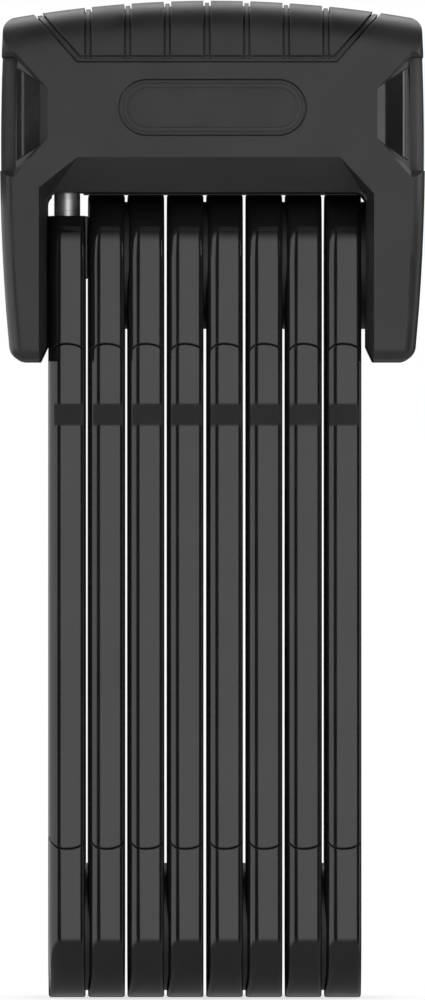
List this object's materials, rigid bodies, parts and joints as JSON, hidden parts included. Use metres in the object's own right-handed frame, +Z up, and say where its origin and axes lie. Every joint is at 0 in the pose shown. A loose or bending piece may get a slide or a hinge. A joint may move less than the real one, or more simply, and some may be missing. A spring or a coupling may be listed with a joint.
{
  "type": "folding bike lock",
  "caption": "Folding bicycle lock: flat cased links hinged end to end, folded side by side under a two-armed lock head with a ribbed grip; a pin on the free end enters the head.",
  "frame": {"origin": "centre of the footprint under the folded links, at their lowest point", "axes": "+Z up to the head's crown, +X to the arm that carries the head pivot, -Y the front, where the emblem sits"},
  "size_m": [0.085, 0.0445, 0.2],
  "materials": {
    "head_plastic": "fine moulded grain",
    "grip_soft": "soft-touch satin",
    "emblem_plastic": "satin",
    "panel_gloss": "gloss",
    "cover_gloss": "semi-gloss",
    "link_coating": "semi-gloss moulded coating",
    "washer_plastic": "waxy",
    "hardened_steel": "ground, dark",
    "turned_steel": "fine turned",
    "bright_steel": "ground",
    "spring_steel": "drawn wire",
    "screw_steel": "black oxide",
    "rivet_black": "black plated",
    "brass_body": "machined"
  },
  "bodies": {
    "head": {"front_shell": "head_plastic", "rear_shell": "head_plastic", "grip_insert": "grip_soft", "emblem_plate": "emblem_plastic", "keyhole_panel": "panel_gloss", "side_panel": "panel_gloss", "lock_case": "hardened_steel", "cylinder_barrel": "brass_body", "shell_screws": "screw_steel", "bolt_spring": "spring_steel", "rivet_8": "rivet_black", "washer_8": "washer_plastic"},
    "link_8": {"link_plate_8": "hardened_steel", "link_sleeve_8": "link_coating", "link_caps_8": "link_coating", "rivet_7": "rivet_black", "washer_7": "washer_plastic"},
    "link_7": {"link_plate_7": "hardened_steel", "link_sleeve_7": "link_coating", "link_caps_7": "link_coating", "rivet_6": "rivet_black", "washer_6": "washer_plastic"},
    "link_6": {"link_plate_6": "hardened_steel", "link_sleeve_6": "link_coating", "link_caps_6": "link_coating", "rivet_5": "rivet_black", "washer_5": "washer_plastic"},
    "link_5": {"link_plate_5": "hardened_steel", "link_sleeve_5": "link_coating", "link_caps_5": "link_coating", "rivet_4": "rivet_black", "washer_4": "washer_plastic"},
    "link_4": {"link_plate_4": "hardened_steel", "link_sleeve_4": "link_coating", "link_caps_4": "link_coating", "rivet_3": "rivet_black", "washer_3": "washer_plastic"},
    "link_3": {"link_plate_3": "hardened_steel", "link_sleeve_3": "link_coating", "link_caps_3": "link_coating", "rivet_2": "rivet_black", "washer_2": "washer_plastic"},
    "link_2": {"link_plate_2": "hardened_steel", "link_sleeve_2": "link_coating", "link_caps_2": "link_coating", "rivet_1": "rivet_black", "washer_1": "washer_plastic"},
    "link_1": {"link_plate_1": "hardened_steel", "link_sleeve_1": "link_coating", "link_caps_1": "link_coating", "locking_pin": "turned_steel", "cross_pin": "bright_steel"},
    "key_rotor": {"cylinder_core": "brass_body", "anti_drill_disc": "hardened_steel", "disc_pack": "brass_body", "sidebar": "bright_steel", "cylinder_clip": "spring_steel", "barrel_cam": "bright_steel"},
    "bolt": {"lock_bolt": "bright_steel"},
    "cover": {"keyhole_cover": "cover_gloss"}
  },
  "joints": [
    {"name": "head_pivot", "type": "hinge", "parent": "head", "child": "link_8", "pos_m": [0, 0, 0.1472], "axis": [-1, 0, 0], "range_deg": [0, 90]},
    {"name": "hinge_7_8", "type": "hinge", "parent": "link_8", "child": "link_7", "pos_m": [0, 0, 0.0142], "axis": [-1, 0, 0], "range_deg": [0, 180]},
    {"name": "hinge_6_7", "type": "hinge", "parent": "link_7", "child": "link_6", "pos_m": [0, 0, 0.1472], "axis": [-1, 0, 0], "range_deg": [0, 90]},
    {"name": "hinge_5_6", "type": "hinge", "parent": "link_6", "child": "link_5", "pos_m": [0, 0, 0.0142], "axis": [-1, 0, 0], "range_deg": [0, 180]},
    {"name": "hinge_4_5", "type": "hinge", "parent": "link_5", "child": "link_4", "pos_m": [0, 0, 0.1472], "axis": [-1, 0, 0], "range_deg": [0, 90]},
    {"name": "hinge_3_4", "type": "hinge", "parent": "link_4", "child": "link_3", "pos_m": [0, 0, 0.0142], "axis": [-1, 0, 0], "range_deg": [0, 180]},
    {"name": "hinge_2_3", "type": "hinge", "parent": "link_3", "child": "link_2", "pos_m": [0, 0, 0.1472], "axis": [-1, 0, 0], "range_deg": [0, 90]},
    {"name": "hinge_1_2", "type": "hinge", "parent": "link_2", "child": "link_1", "pos_m": [0, 0, 0.0142], "axis": [-1, 0, 0], "range_deg": [0, 180]},
    {"name": "key_turn", "type": "hinge", "parent": "head", "child": "key_rotor", "pos_m": [-0.03, 0, 0.1815], "axis": [-1, 0, 0], "range_deg": [0, 90]},
    {"name": "bolt_slide", "type": "slide", "parent": "head", "child": "bolt", "axis": [-1, 0, 0], "range_m": [0, 0.008], "deforming": ["bolt_spring"]},
    {"name": "cover_slide", "type": "slide", "parent": "head", "child": "cover", "axis": [0, 1, 0], "range_m": [0, 0.0126]}
  ],
  "couplings": [
    {"joint": "key_turn", "follows": "bolt_slide", "rad_per_m": 196.35}
  ]
}
